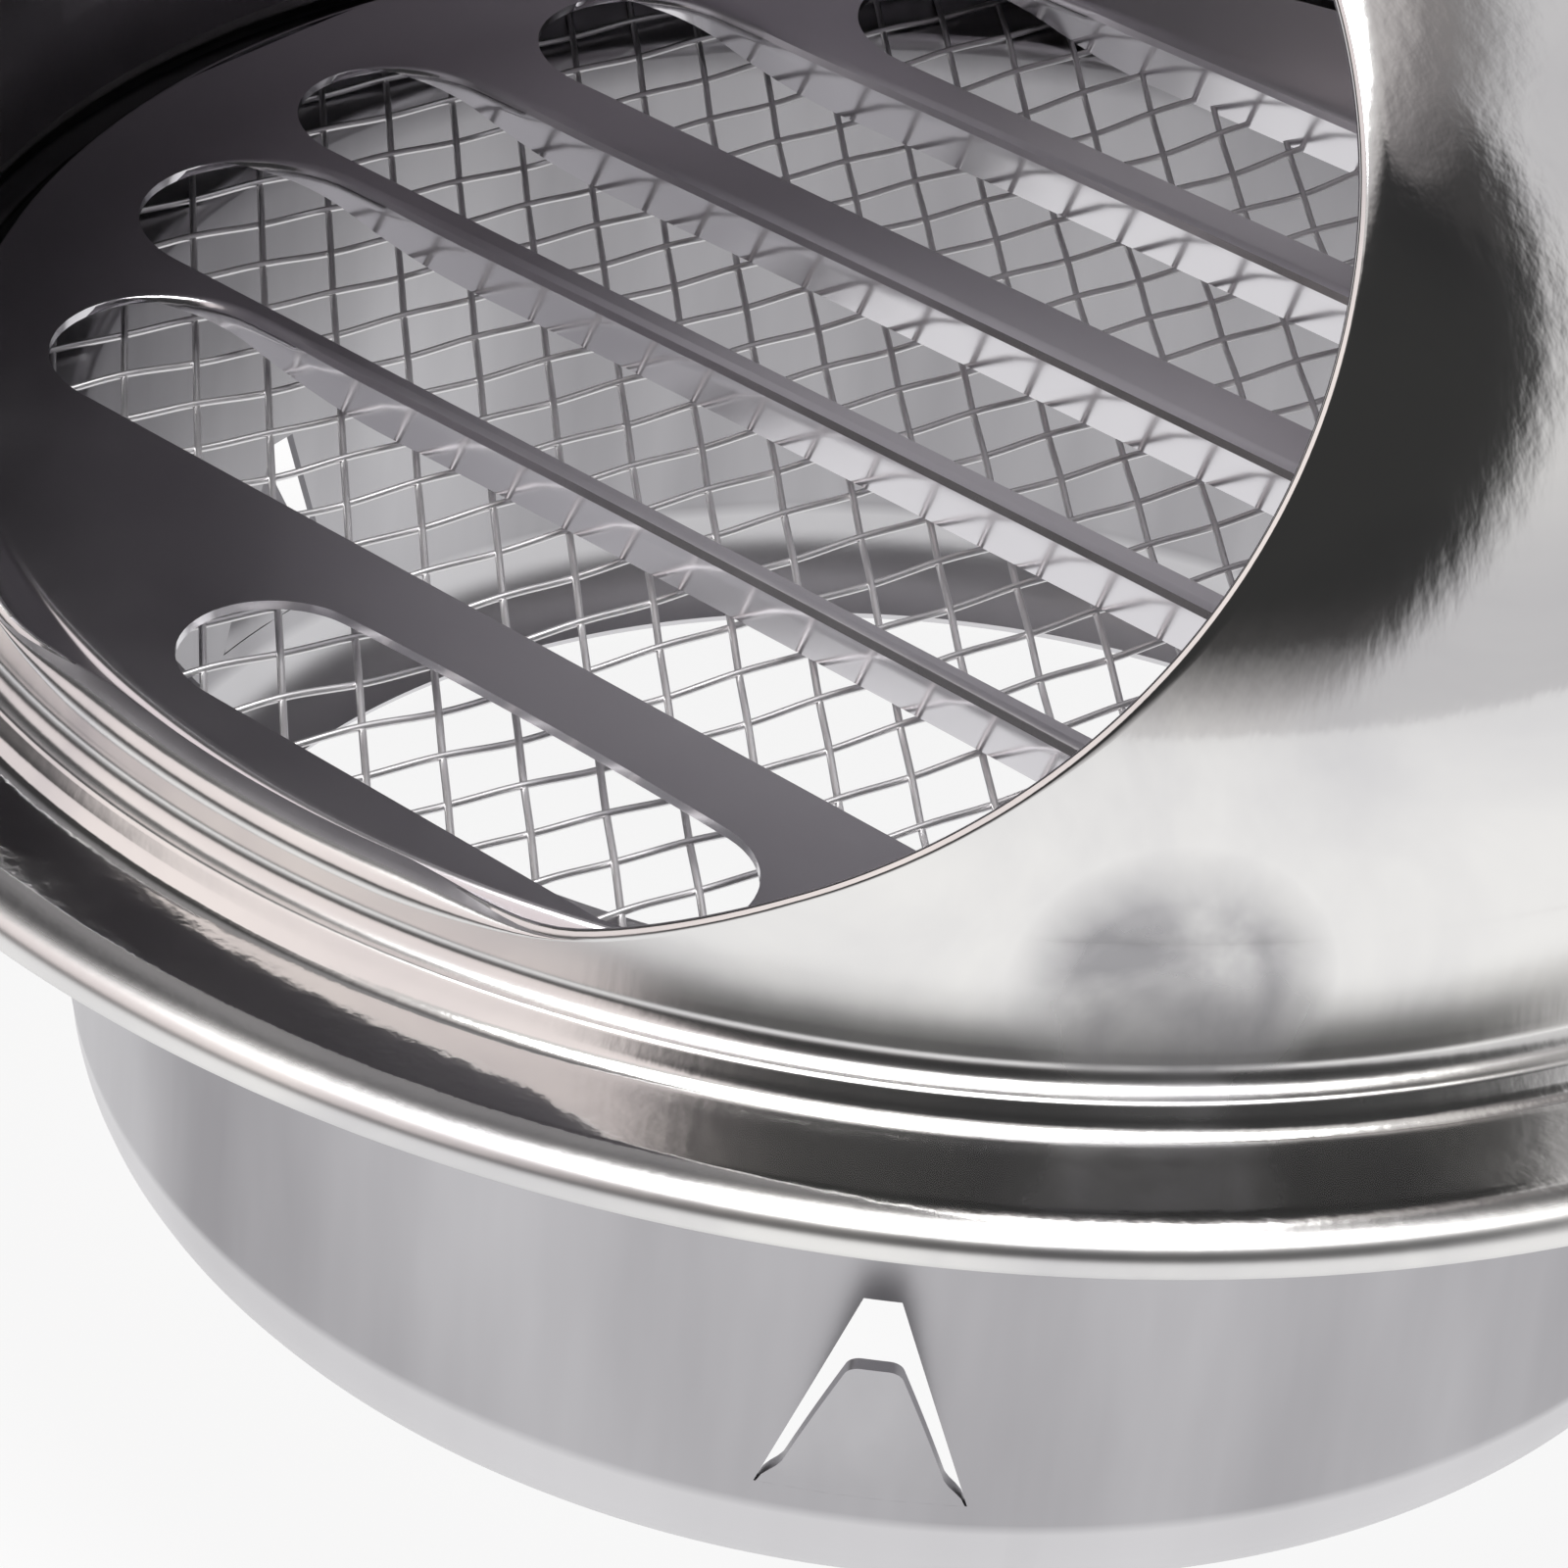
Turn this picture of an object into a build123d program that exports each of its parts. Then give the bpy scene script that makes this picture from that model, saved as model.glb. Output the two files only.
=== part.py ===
from build123d import *
from math import acos, atan2, cos, degrees, radians, sin, sqrt, tan
import os

os.makedirs("parts", exist_ok=True)

# Hooded cover for the outlet of a round duct, in millimetres.
# The origin is on the duct axis in the plane of the wall. +Z points away from the wall,
# the hood opens toward -Y and the slots of the plate run along X.

# Sheets, and the clearance between the layers held in the rim
hood_sheet = 0.7
collar_sheet = 0.6
plate_sheet = 0.5
screen_thick = 0.65
layer_clear = 0.05

# Collar that slides into the duct
spigot_radius = 49.0
spigot_length = 39.0
lead_in_height = 6.0
lead_in_drop = 0.2
lead_in_slope = 0.8
collar_bend = 0.4

# Rolled rim, flange and the raised seat inside it
flange_width = 8.7
hem_width = 6.0
seat_ledge = 1.3
seat_slope_run = 1.0
foot_fillet = 0.6

# Dome, its slanted mouth and the sill under the mouth
dome_radius = 58.0
dome_start = 10.6
dome_rise = 45.4
mouth_tilt = 41.2
mouth_inset = 2.9
sill_height = 6.1
sill_width = 1.6

# Slotted plate, with the far and near edge of each slot measured from the duct axis toward the mouth
plate_top = 4.7
plate_rim_width = 3.0
plate_skirt_run = 1.2
plate_side_clear = 0.4
slot_end_margin = 5.5
slot_least_share = 0.25
front_slot = (41.7, 51.2)
front_slot_shift = 4.4
front_slot_margin = 0.4
lipped_slots = [(23.6, 36.2), (8.7, 22.5), (-5.6, 7.1), (-23.5, -9.9), (-41.0, -26.6)]
lip_reach = 3.0
lip_drop = 2.1

# Screen, drawn as one wall with a field of openings
screen_gap = 6.6
screen_pitch = 8.4
screen_border = 1.9

# Spring tabs lanced out of the collar
tab_count = 3
tab_first_turn = 35.0
tab_base = 10.8
tab_end = 2.6
tab_height = 12.8
tab_foot_height = 8.0
tab_lift = 20.0
tab_slit = 0.4

# Levels of the layers, from the wall outward
collar_low = hood_sheet + layer_clear
collar_high = collar_low + collar_sheet
flange_low = collar_high + layer_clear
flange_high = flange_low + hood_sheet
screen_low = collar_high + layer_clear
screen_high = screen_low + screen_thick
plate_rim_low = screen_high + layer_clear
plate_rim_high = plate_rim_low + plate_sheet
seat_low = plate_rim_high + layer_clear
seat_high = seat_low + hood_sheet

# Hood section: the rolled rim, then the sloped step offset inward by one sheet
seat_radius = dome_radius + seat_ledge
seat_foot = seat_radius + seat_slope_run
rim_radius = seat_foot + flange_width
hem_mid = flange_high / 2
hem_centre = rim_radius - hem_mid
hem_inner = hem_centre - hem_width
hem_pocket = rim_radius - hood_sheet - layer_clear
slope = atan2(seat_high - flange_high, seat_slope_run)
under_x = seat_radius - hood_sheet * sin(slope)
under_z = seat_high - hood_sheet * cos(slope)
under_seat = under_x + (under_z - seat_low) / tan(slope)
under_flange = under_x + (under_z - flange_low) / tan(slope)
fillet_x = dome_radius + foot_fillet
fillet_z = seat_high + foot_fillet
dome_inner = dome_radius - hood_sheet
rise_inner = dome_rise - hood_sheet

# Mouth plane: through the sill line, leaning back from the wall's normal
mouth_front = dome_radius - mouth_inset
mouth_normal = (0, -cos(radians(mouth_tilt)), sin(radians(mouth_tilt)))
mouth_origin = (0, -mouth_front, sill_height)
sill_turn = acos(mouth_front / (dome_radius - hood_sheet / 2))
tool_reach = 6 * rim_radius

# Plate and screen seated in the hood, spigot wall
plate_low = plate_top - plate_sheet
plate_rim = under_seat - plate_side_clear
plate_foot = plate_rim - plate_rim_width
plate_flat = plate_foot - plate_skirt_run
slot_end = plate_flat - slot_end_margin
lip_slope = atan2(lip_drop, lip_reach)
spigot_inner = spigot_radius - collar_sheet
lead_in_top = lead_in_height - spigot_length
neck_top = lead_in_top + lead_in_slope
neck_radius = spigot_radius - lead_in_drop
neck_inner = spigot_inner - lead_in_drop
bend_outer = collar_bend + collar_sheet


# Tool for the mouth: everything in front of the slanted plane and above the sill
with BuildPart() as mouth:
    with BuildSketch(Plane(origin=mouth_origin, x_dir=(1, 0, 0), z_dir=mouth_normal)):
        Rectangle(tool_reach, tool_reach)
    extrude(amount=tool_reach)
    with BuildSketch(Plane.XY.offset(sill_height)):
        Rectangle(tool_reach, tool_reach)
    extrude(amount=tool_reach, mode=Mode.INTERSECT)

# Hood: dome, raised seat, flange and rolled rim drawn from one sheet
with BuildPart() as hood:
    with BuildSketch(Plane.XZ):
        with BuildLine():
            Line((hem_inner, 0), (hem_centre, 0))
            ThreePointArc((hem_centre, 0), (rim_radius, hem_mid), (hem_centre, flange_high))
            Polyline(
                (hem_centre, flange_high),
                (seat_foot, flange_high),
                (seat_radius, seat_high),
                (fillet_x, seat_high),
            )
            RadiusArc((fillet_x, seat_high), (dome_radius, fillet_z), foot_fillet)
            Line((dome_radius, fillet_z), (dome_radius, dome_start))
            EllipticalCenterArc((0, dome_start), dome_radius, dome_rise, 0, arc_size=90)
            Line((0, dome_start + dome_rise), (0, dome_start + rise_inner))
            EllipticalCenterArc((0, dome_start), dome_inner, rise_inner, 0, arc_size=90)
            Line((dome_inner, dome_start), (dome_inner, fillet_z))
            RadiusArc((fillet_x, seat_low), (dome_inner, fillet_z), foot_fillet + hood_sheet)
            Polyline(
                (fillet_x, seat_low),
                (under_seat, seat_low),
                (under_flange, flange_low),
                (hem_pocket, flange_low),
                (hem_pocket, hood_sheet),
                (hem_inner, hood_sheet),
                (hem_inner, 0),
            )
        make_face()
    revolve(axis=Axis.Z)
    add(mouth.part, mode=Mode.SUBTRACT)
    # The sill is turned inward along the bottom of the mouth
    sill_side = (-sin(sill_turn), -cos(sill_turn), 0)
    sill_face = (-cos(sill_turn), sin(sill_turn), 0)
    with BuildSketch(Plane(origin=(0, 0, sill_height), x_dir=sill_side, z_dir=sill_face)):
        with Locations((dome_radius - hood_sheet / 2, 0)):
            Rectangle(sill_width, hood_sheet, align=(Align.MAX, Align.MAX))
    revolve(axis=Axis.Z, revolution_arc=2 * degrees(sill_turn))
hood.part.label = "hood"
export_step(hood.part, "parts/hood.step")

# Collar: spigot with a turned-out flange held in the rolled rim, and three lanced spring tabs
with BuildPart() as collar:
    with BuildSketch(Plane.XZ):
        with BuildLine():
            Line((spigot_inner, neck_top), (spigot_inner, collar_high - bend_outer))
            RadiusArc(
                (spigot_inner, collar_high - bend_outer),
                (spigot_inner + bend_outer, collar_high),
                bend_outer,
            )
            Polyline(
                (spigot_inner + bend_outer, collar_high),
                (hem_pocket - layer_clear, collar_high),
                (hem_pocket - layer_clear, collar_low),
                (spigot_radius + collar_bend, collar_low),
            )
            RadiusArc(
                (spigot_radius, collar_low - collar_bend),
                (spigot_radius + collar_bend, collar_low),
                collar_bend,
            )
            Polyline(
                (spigot_radius, collar_low - collar_bend),
                (spigot_radius, neck_top),
                (neck_radius, lead_in_top),
                (neck_radius, -spigot_length),
                (neck_inner, -spigot_length),
                (neck_inner, lead_in_top),
                (spigot_inner, neck_top),
            )
        make_face()
    revolve(axis=Axis.Z)
    for k in range(tab_count):
        turn = radians(tab_first_turn + k * 360 / tab_count)
        lift = radians(tab_lift)
        side = (cos(turn), sin(turn), 0)
        outward = (sin(turn), -cos(turn), 0)
        tab_face = (sin(turn) * cos(lift), -cos(turn) * cos(lift), -sin(lift))
        tab_low = tab_foot_height - spigot_length
        # Window left by the tab
        with BuildSketch(Plane(origin=(0, 0, tab_low), x_dir=side, z_dir=outward)):
            with BuildLine():
                Polyline(
                    (-tab_base / 2, 0),
                    (tab_base / 2, 0),
                    (tab_end / 2, tab_height),
                    (-tab_end / 2, tab_height),
                    close=True,
                )
            make_face()
        extrude(amount=spigot_radius + collar_sheet, mode=Mode.SUBTRACT)
        # Tab leaning out of the window, its foot joined to the wall
        tab_reach = spigot_inner + tab_slit * sin(lift)
        tab_origin = (tab_reach * sin(turn), -tab_reach * cos(turn), tab_low)
        with BuildSketch(Plane(origin=tab_origin, x_dir=side, z_dir=tab_face)):
            with BuildLine():
                Polyline(
                    (-tab_base / 2 - tab_slit, -tab_slit),
                    (tab_base / 2 + tab_slit, -tab_slit),
                    (tab_base / 2 - tab_slit, tab_slit),
                    (tab_end / 2 - tab_slit / 2, tab_height),
                    (-tab_end / 2 + tab_slit / 2, tab_height),
                    (-tab_base / 2 + tab_slit, tab_slit),
                    close=True,
                )
            make_face()
        extrude(amount=collar_sheet)
collar.part.label = "collar"
export_step(collar.part, "parts/collar.step")

# Louvre plate: a shallow pan with rows of slots, and a lip turned down along the back of each slot
with BuildPart() as louvre_plate:
    with BuildSketch(Plane.XZ):
        with BuildLine():
            Polyline(
                (0, plate_top),
                (plate_flat, plate_top),
                (plate_foot, plate_rim_high),
                (plate_rim, plate_rim_high),
                (plate_rim, plate_rim_low),
                (plate_foot - plate_sheet, plate_rim_low),
                (plate_flat - plate_sheet, plate_low),
                (0, plate_low),
                close=True,
            )
        make_face()
    revolve(axis=Axis.Z)
    for far, near in [front_slot] + lipped_slots:
        slot_middle = (far + near) / 2
        slot_width = near - far
        if abs(slot_middle) > slot_end - slot_least_share * slot_width:
            continue
        slot_half = sqrt(slot_end**2 - slot_middle**2)
        slot_shift = 0
        if (far, near) == front_slot:
            # The front slot sits a little to +X and ends close to the edge of the flat
            round_reach = plate_flat - front_slot_margin - slot_width / 2
            slot_shift = front_slot_shift
            slot_half = sqrt(round_reach**2 - slot_middle**2) + slot_width / 2 - slot_shift
        with BuildSketch(Plane.XY.offset(plate_top)):
            with Locations((slot_shift, -slot_middle)):
                SlotOverall(2 * slot_half, slot_width)
        extrude(amount=-2 * plate_sheet, mode=Mode.SUBTRACT)
        if (far, near) == front_slot:
            continue
        lip_half = slot_half - slot_width / 2
        with BuildSketch(Plane(origin=(lip_half, -far, plate_top), x_dir=(0, -1, 0), z_dir=(-1, 0, 0))):
            with BuildLine():
                Polyline(
                    (0, 0),
                    (lip_reach, -lip_drop),
                    (lip_reach - plate_sheet * sin(lip_slope), -lip_drop - plate_sheet * cos(lip_slope)),
                    (-plate_sheet * tan(lip_slope / 2), -plate_sheet),
                    (-plate_sheet, -plate_sheet),
                    (-plate_sheet, 0),
                    close=True,
                )
            make_face()
        extrude(amount=2 * lip_half)
louvre_plate.part.label = "louvre_plate"
export_step(louvre_plate.part, "parts/louvre_plate.step")

# Insect screen: one thin wall clamped between the plate's rim and the collar, open over the duct
with BuildPart() as insect_screen:
    with BuildSketch(Plane.XY.offset(screen_low)):
        Circle(plate_rim)
    extrude(amount=screen_thick)
    screen_open = spigot_inner - screen_border
    screen_rows = int(screen_open // screen_pitch)
    openings = []
    for i in range(-screen_rows, screen_rows + 1):
        for j in range(-screen_rows, screen_rows + 1):
            corner_x = abs(i) * screen_pitch + screen_gap / 2
            corner_y = abs(j) * screen_pitch + screen_gap / 2
            if sqrt(corner_x**2 + corner_y**2) < screen_open:
                openings.append((i * screen_pitch, j * screen_pitch))
    with BuildSketch(Plane.XY.offset(screen_high)):
        with Locations(*openings):
            Rectangle(screen_gap, screen_gap)
    extrude(amount=-2 * screen_thick, mode=Mode.SUBTRACT)
insect_screen.part.label = "insect_screen"
export_step(insect_screen.part, "parts/insect_screen.step")
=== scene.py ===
# %% [markdown]
# # A hooded duct outlet in polished steel
# The real object is a drawn dome with a slanted mouth, a rolled flange, a duct spigot with
# spring tabs, a slotted plate and a woven screen. The solid model gives the sizes and places.
# This lesson rebuilds each sheet as a fine surface, because a mirror finish shows every facet
# of a coarse mesh, adds the soft forms that a press leaves, and then gives each metal its own
# finish.

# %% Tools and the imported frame
import bmesh
import bpy
import numpy as np
from mathutils import Matrix, Vector


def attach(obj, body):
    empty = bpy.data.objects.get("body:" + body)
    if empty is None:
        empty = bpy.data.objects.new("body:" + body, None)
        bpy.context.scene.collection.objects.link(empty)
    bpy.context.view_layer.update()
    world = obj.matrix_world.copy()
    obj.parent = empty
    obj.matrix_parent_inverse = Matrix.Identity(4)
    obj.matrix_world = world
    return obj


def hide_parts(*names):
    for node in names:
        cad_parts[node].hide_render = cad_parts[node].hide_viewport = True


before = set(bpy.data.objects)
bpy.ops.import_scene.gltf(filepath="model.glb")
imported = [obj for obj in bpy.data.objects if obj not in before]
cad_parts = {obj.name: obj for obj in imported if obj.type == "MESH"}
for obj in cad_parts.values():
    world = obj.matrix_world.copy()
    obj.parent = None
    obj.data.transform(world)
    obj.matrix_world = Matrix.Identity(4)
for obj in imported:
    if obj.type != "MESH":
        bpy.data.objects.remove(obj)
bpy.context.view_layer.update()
MM = 0.001

# %% [markdown]
# ## Helpers
# A surface here is a grid of points, worked out as one numpy array in millimetres. Neighbouring
# points make quads, and a piece may join several grids into one mesh. Points that fall on each
# other, where a grid narrows to nothing, are merged, so no face without area is left.


# %% Grids to meshes
merge_distance = 0.002


def grid_faces(rows, columns, close_rows, close_columns):
    """Corner numbers of the quads of a grid: point i, j is number i times columns plus j."""
    i = np.arange(rows if close_rows else rows - 1)
    j = np.arange(columns if close_columns else columns - 1)
    i, j = np.meshgrid(i, j, indexing="ij")
    down, right = (i + 1) % rows, (j + 1) % columns
    corners = [i * columns + j, i * columns + right, down * columns + right, down * columns + j]
    return np.stack(corners, -1).reshape(-1, 4)


def piece(name, grids, node, crease=35.0, recalculate=False):
    """One mesh from grids of (points in mm, close_rows, close_columns, faces kept or None)."""
    points, faces, start = [], [], 0
    for grid, close_rows, close_columns, kept in grids:
        quads = grid_faces(*grid.shape[:2], close_rows, close_columns)
        quads = quads if kept is None else quads[kept.reshape(-1)]
        points.append(grid.reshape(-1, 3) * MM)
        faces.append(quads + start)
        start += grid.shape[0] * grid.shape[1]
    mesh = bpy.data.meshes.new(name)
    mesh.from_pydata(np.concatenate(points), [], np.concatenate(faces))
    soft = bmesh.new()
    soft.from_mesh(mesh)
    bmesh.ops.remove_doubles(soft, verts=soft.verts, dist=merge_distance * MM)
    loose = [vert for vert in soft.verts if not vert.link_faces]
    bmesh.ops.delete(soft, geom=loose, context="VERTS")
    if recalculate:
        bmesh.ops.recalc_face_normals(soft, faces=soft.faces)
    soft.to_mesh(mesh)
    soft.free()
    mesh.shade_smooth()
    mesh.set_sharp_from_angle(angle=np.radians(crease))
    made = bpy.data.objects.new(name, mesh)
    bpy.context.scene.collection.objects.link(made)
    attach(made, "root")
    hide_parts(node)
    print(name, len(mesh.vertices), "points", len(mesh.polygons), "faces")
    return made


# %% [markdown]
# ## Camera
# The camera looks down on the flange from the side of the mouth, a hand's breadth off to the
# right, through a long lens. Its turn, tip and roll were found by matching round edges, so they
# are set as three directions at once, which leaves no order of turns to get wrong.

# %% Camera
flange_level = 1.1
camera_distance = 294.0
camera_turn = np.radians(35.0)
camera_rise = np.radians(30.617)
camera_pitch = camera_rise + 0.0651
camera_yaw = -0.0357
camera_roll = -0.0990
focal_share = 5532.0 / 1600.0

spin = np.array(Matrix.Rotation(camera_turn, 3, "Z"))
ahead = spin @ [
    np.sin(camera_yaw) * np.cos(camera_pitch),
    np.cos(camera_yaw) * np.cos(camera_pitch),
    -np.sin(camera_pitch),
]
horizon = spin @ [np.cos(camera_yaw), -np.sin(camera_yaw), 0.0]
below = np.cross(ahead, horizon)
right = np.cos(camera_roll) * horizon + np.sin(camera_roll) * below
down = -np.sin(camera_roll) * horizon + np.cos(camera_roll) * below
eye = camera_distance * (spin @ [0.0, -np.cos(camera_rise), np.sin(camera_rise)])
eye = (eye + [0.0, 0.0, flange_level]) * MM

lens = bpy.data.cameras.new("camera")
lens.sensor_width = 36.0
lens.lens = lens.sensor_width * focal_share
lens.clip_start = 0.01
camera = bpy.data.objects.new("camera", lens)
axes = np.stack([right, -down, -ahead], 1)
camera.matrix_world = Matrix.Translation(Vector(eye)) @ Matrix(axes.tolist()).to_4x4()
bpy.context.scene.collection.objects.link(camera)
bpy.context.scene.camera = camera
print("camera", eye, "lens", lens.lens)

# %% [markdown]
# ## Hood
# The dome is half an ellipsoid on a short upright wall. Stretched in height, the ellipsoid is a
# sphere and the slanted mouth is a circle on it, so a grid of rays from the mouth's own axis
# starts exactly on the rim and runs down to the wall with even quads. A plain turned surface
# cut by a plane would leave ragged faces along the rim, just where the mirror is looked at.


# %% Points round an axis, section arcs and soft steps
def turned(radius, turn, height):
    """Points at radius times sine of the turn in X, less radius times cosine in Y, at a height."""
    radius, turn, height = np.broadcast_arrays(radius, turn, height)
    return np.stack([radius * np.sin(turn), -radius * np.cos(turn), height], -1)


def arc(centre, radius, start, end, count):
    """Section points on a circle, centre plus radius times cosine and sine, angles in degrees."""
    angle = np.radians(np.linspace(start, end, count))
    return np.stack([centre[0] + radius * np.cos(angle), centre[1] + radius * np.sin(angle)], -1)


def smoothstep(value):
    """Goes from 0 to 1 with no kink at either end: three squares less two cubes."""
    value = np.clip(value, 0.0, 1.0)
    return value * value * (3.0 - 2.0 * value)


# %% Hood sizes
sheet = 0.7
dome_radius = 58.0
dome_start = 10.6
dome_rise = 45.4
mouth_tilt = np.radians(41.2)
mouth_front = 55.1
sill_height = 6.1
sill_width = 1.6
sill_bend = 0.55
seat_height = 3.35
seat_radius = 59.3
flange_height = 2.1
flange_foot = 60.3
rim_radius = 69.0

squeeze = dome_rise / dome_radius
slant_cos, slant_sin = np.cos(mouth_tilt), np.sin(mouth_tilt)
axis_length = np.hypot(slant_cos, squeeze * slant_sin)
mouth_axis = np.array([0.0, -slant_cos, squeeze * slant_sin]) / axis_length
mouth_side = np.array([1.0, 0.0, 0.0])
mouth_up = np.cross(mouth_axis, mouth_side)
mouth_offset = mouth_front * slant_cos + sill_height * slant_sin
mouth_angle = np.arccos((mouth_offset - dome_start * slant_sin) / axis_length / dome_radius)
print("mouth half angle", np.degrees(mouth_angle))

# %% Hood columns: rays over the dome, then the low front part of the wall
dome_columns = 300
front_columns = 60
half_sheet = sheet / 2
rim_angle = mouth_angle + half_sheet / dome_radius
lowest = np.arcsin(-mouth_axis[2] / (np.tan(rim_angle) * mouth_up[2]))
ray = np.linspace(lowest, np.pi - lowest, dome_columns)
ray_foot = np.arctan2(mouth_axis[2], -np.sin(ray) * mouth_up[2])


def dome_points(angle, ray):
    """A sphere at an angle from the mouth's axis along a ray, squeezed in height to the dome."""
    angle, ray = np.broadcast_arrays(angle, ray)
    side = np.cos(ray)[..., None] * mouth_side + np.sin(ray)[..., None] * mouth_up
    point = dome_radius * (np.cos(angle)[..., None] * mouth_axis + np.sin(angle)[..., None] * side)
    return point * [1.0, 1.0, squeeze] + [0.0, 0.0, dome_start]


def dome_normals(point):
    """Unit normals of the ellipsoid, from the gradient of its equation."""
    gradient = (point - [0.0, 0.0, dome_start]) / [dome_radius**2, dome_radius**2, dome_rise**2]
    return gradient / np.linalg.norm(gradient, axis=-1, keepdims=True)


ray_equator = dome_points(ray_foot, ray)
ray_turn = np.arctan2(ray_equator[:, 0], -ray_equator[:, 1])
front_turn = np.linspace(ray_turn[-1], ray_turn[0], front_columns + 2)[1:-1]
turn = np.concatenate([ray_turn, front_turn])
rim_blend = 0.8
front_rim = (mouth_offset - dome_radius * np.cos(front_turn) * slant_cos) / slant_sin
front_rim = (front_rim + sill_height + np.hypot(front_rim - sill_height, rim_blend)) / 2
print("rim on the wall within", np.degrees(ray_turn[0]), "degrees")

# %% [markdown]
# ### Rim, dome and sill
# The cut edge of the sheet is rounded, since even a thin rim catches a line of light. At the
# front the mouth meets the upright wall, where the press turns the edge inward as a sill. The
# dome's columns and the front columns are made apart and then set side by side in one grid.

# %% Hood section above the wall: rounded rim and dome
rim_rows, lip_rows, dome_rows, wall_rows = 7, 9, 80, 20
swing = np.linspace(-np.pi / 2, np.pi / 2, rim_rows)[:, None, None]

step = np.linspace(0.0, 1.0, dome_rows)[:, None]
dome_outer = dome_points(rim_angle + (ray_foot - rim_angle) * step, ray)
dome_normal = dome_normals(dome_outer)
dome_inner = dome_outer - sheet * dome_normal
mouthward = dome_outer[0] - dome_outer[1]
mouthward[0], mouthward[-1] = mouthward[1], mouthward[-2]
mouthward /= np.linalg.norm(mouthward, axis=-1, keepdims=True)
dome_rim = dome_outer[0] - half_sheet * dome_normal[0]
dome_rim = dome_rim + half_sheet * (np.sin(swing) * dome_normal[0] + np.cos(swing) * mouthward)
print("dome", dome_outer.shape, "rim", dome_rim.shape)

# %% Hood section above the wall: the sill turned inward at the front
lip_top = sill_height - half_sheet
lip_wall = dome_radius - half_sheet
lip_line = np.concatenate([
    [[lip_wall - sill_width, lip_top]],
    arc((lip_wall - sill_bend, lip_top - sill_bend), sill_bend, 90.0, 0.0, lip_rows - 1),
])
lip_normal = np.concatenate([[[0.0, 1.0]], arc((0.0, 0.0), 1.0, 90.0, 0.0, lip_rows - 1)])
plain_line = np.stack([np.full(front_columns, lip_wall), front_rim - half_sheet], -1)
lip_fade_start, lip_fade_end = np.radians(9.0), np.radians(20.0)
lip_fade = (np.abs(front_turn) - lip_fade_start) / (lip_fade_end - lip_fade_start)
lip_share = (1.0 - smoothstep(lip_fade))[:, None]


def front_section(offset):
    """Sheet side of the front columns: the turned-in lip, fading to the plain wall edge."""
    lip = lip_line[:, None] + offset * lip_normal[:, None]
    plain = plain_line[None] + offset * np.array([1.0, 0.0])
    section = plain + (lip - plain) * lip_share
    return turned(section[..., 0], front_turn, section[..., 1])


lip_round = np.stack([
    lip_line[0, 0] - half_sheet * np.cos(swing[:, 0, 0]),
    lip_line[0, 1] + half_sheet * np.sin(swing[:, 0, 0]),
], -1)[:, None]
edge_round = np.stack(np.broadcast_arrays(
    lip_wall + half_sheet * np.sin(swing[..., 0]),
    front_rim - half_sheet + half_sheet * np.cos(swing[..., 0]),
), -1)
front_round = edge_round + (lip_round - edge_round) * lip_share
front_rim_points = turned(front_round[..., 0], front_turn, front_round[..., 1])
front_outer, front_inner = front_section(half_sheet), front_section(-half_sheet)


def beside(dome_block, front_block, rows):
    """Dome columns followed by front columns, with a single row repeated to fill its block."""
    pair = (dome_block, front_block)
    return np.concatenate([np.broadcast_to(block, (rows, *block.shape[-2:])) for block in pair], 1)


rim_block = beside(dome_rim, front_rim_points, rim_rows)
lip_outer_block = beside(dome_outer[0], front_outer, lip_rows)
lip_inner_block = beside(dome_inner[0], front_inner, lip_rows)
dome_outer_block = beside(dome_outer, front_outer[-1], dome_rows)
dome_inner_block = beside(dome_inner, front_inner[-1], dome_rows)
print("rim block", rim_block.shape, "dome block", dome_outer_block.shape)

# %% [markdown]
# ### Foot, flange and rolled rim
# Below the wall the hood is the same all round, so one section line is turned about the axis.
# It runs from the wall's fillet over the raised seat, down into a hollow, across the flange,
# round the rolled hem and back along the inside of the sheet. The wall itself leans out a
# little toward its foot, which softens the band that the mirror shows there.

# %% Hood section of the foot, flange and rolled rim
foot_fillet = 1.2
seat_round, slope_round = 0.45, 1.6
slope_foot = 61.75
flange_dish = 0.28
wall_flare, flare_power = 0.6, 1.3
foot_radius = dome_radius + wall_flare + foot_fillet
hem_round = flange_height / 2
hem_centre = rim_radius - hem_round
hem_lap, hem_gap, hem_chamfer = 6.0, 0.05, 0.1
hem_inner = hem_centre - hem_lap
hem_pocket = rim_radius - sheet - hem_gap
inner_wall = dome_radius - sheet
foot_section = np.concatenate([
    arc((foot_radius, seat_height + foot_fillet), foot_fillet, 184.0, 270.0, 9),
    arc((foot_radius + 0.02, seat_height - seat_round), seat_round, 90.0, 40.0, 7),
    arc((slope_foot, flange_height + slope_round), slope_round, 220.0, 269.0, 12),
    np.linspace(
        (slope_foot + 0.3, flange_height), (hem_centre - 1.0, flange_height + flange_dish), 8),
    arc((hem_centre, hem_round), hem_round, 80.0, -90.0, 15),
    [[hem_inner + 0.3, 0.0], [hem_inner, hem_chamfer]],
    [[hem_inner, sheet - hem_chamfer], [hem_inner + 0.3, sheet]],
    [[hem_pocket, sheet], [hem_pocket, 2 * sheet]],
    [[flange_foot + 0.4, 2 * sheet], [seat_radius + 0.3, seat_height - sheet]],
    arc((foot_radius, seat_height + foot_fillet), foot_fillet + sheet, 270.0, 184.0, 9),
])
foot_block = turned(foot_section[:, :1], turn, foot_section[:, 1:])
print("foot section", len(foot_section), "points, hem to", hem_inner, "mm")

# %% Hood wall and the closed mesh
fillet_top = seat_height + foot_fillet


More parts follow.
